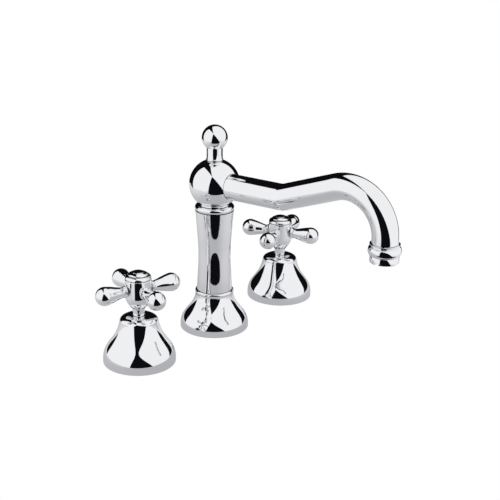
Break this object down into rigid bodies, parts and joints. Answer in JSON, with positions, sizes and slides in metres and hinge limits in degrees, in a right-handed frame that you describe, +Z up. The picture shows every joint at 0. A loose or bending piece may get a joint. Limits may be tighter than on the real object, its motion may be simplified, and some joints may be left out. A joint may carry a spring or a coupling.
{
  "type": "basin mixer faucet",
  "caption": "Widespread chrome basin mixer: turned column, swan-neck swivel spout with aerator, lift knob, and cross-handle valves on bell escutcheons.",
  "frame": {"origin": "on top of the deck at the axis of the centre column", "axes": "+Z up out of the deck along the column; the spout points to -Y; the hot valve is at -X and the cold valve at +X"},
  "size_m": [0.2764, 0.2298, 0.3096],
  "materials": {
    "chrome": "bright polished chrome plate",
    "brass": "machined, unplated",
    "steel": "brushed stainless",
    "rubber": "matt black",
    "ceramic": "lapped white ceramic",
    "nylon": "moulded white plastic"
  },
  "bodies": {
    "mixer_base": {"base_flange": "chrome", "base_gasket": "rubber", "supply_stem": "brass", "column_sleeve": "chrome", "swivel_collar": "chrome", "swivel_bush": "nylon", "swivel_oring": "rubber", "spout_grub_screw": "steel", "rod_guide": "brass", "spout_rubber_washer": "rubber", "spout_steel_washer": "steel", "spout_lock_nut": "brass", "supply_tee": "brass", "hot_bell_escutcheon": "chrome", "hot_bell_seal": "rubber", "hot_valve_body": "brass", "hot_cartridge_body": "brass", "hot_fixed_disc": "ceramic", "hot_rubber_washer": "rubber", "hot_steel_washer": "steel", "hot_lock_nut": "brass", "hot_inlet_nipple": "brass", "hot_outlet_nipple": "brass", "cold_bell_escutcheon": "chrome", "cold_bell_seal": "rubber", "cold_valve_body": "brass", "cold_cartridge_body": "brass", "cold_fixed_disc": "ceramic", "cold_rubber_washer": "rubber", "cold_steel_washer": "steel", "cold_lock_nut": "brass", "cold_inlet_nipple": "brass", "cold_outlet_nipple": "brass"},
    "spout": {"spout_ball": "chrome", "spout_tube": "chrome", "nozzle_ring": "chrome", "aerator_housing": "chrome", "aerator_core": "nylon"},
    "lift": {"lift_knob": "chrome", "lift_rod": "steel"},
    "hot_handle": {"hot_handle_hub": "chrome", "hot_arm_1": "chrome", "hot_arm_2": "chrome", "hot_arm_3": "chrome", "hot_arm_4": "chrome", "hot_cap_ring": "chrome", "hot_cap_button": "chrome", "hot_handle_screw": "steel", "hot_spindle": "brass", "hot_turning_disc": "ceramic"},
    "cold_handle": {"cold_handle_hub": "chrome", "cold_arm_1": "chrome", "cold_arm_2": "chrome", "cold_arm_3": "chrome", "cold_arm_4": "chrome", "cold_cap_ring": "chrome", "cold_cap_button": "chrome", "cold_handle_screw": "steel", "cold_spindle": "brass", "cold_turning_disc": "ceramic"}
  },
  "joints": [
    {"name": "spout_swivel", "type": "hinge", "parent": "mixer_base", "child": "spout", "pos_m": [0, 0, 0.1175], "axis": [0, 0, 1], "range_deg": [-60, 60]},
    {"name": "lift_slide", "type": "slide", "parent": "mixer_base", "child": "lift", "axis": [0, 0, 1], "range_m": [0, 0.018]},
    {"name": "hot_handle_turn", "type": "hinge", "parent": "mixer_base", "child": "hot_handle", "pos_m": [-0.1, 0, 0.0658], "axis": [0, 0, 1], "range_deg": [0, 90]},
    {"name": "cold_handle_turn", "type": "hinge", "parent": "mixer_base", "child": "cold_handle", "pos_m": [0.1, 0, 0.0658], "axis": [0, 0, 1], "range_deg": [-90, 0]}
  ]
}
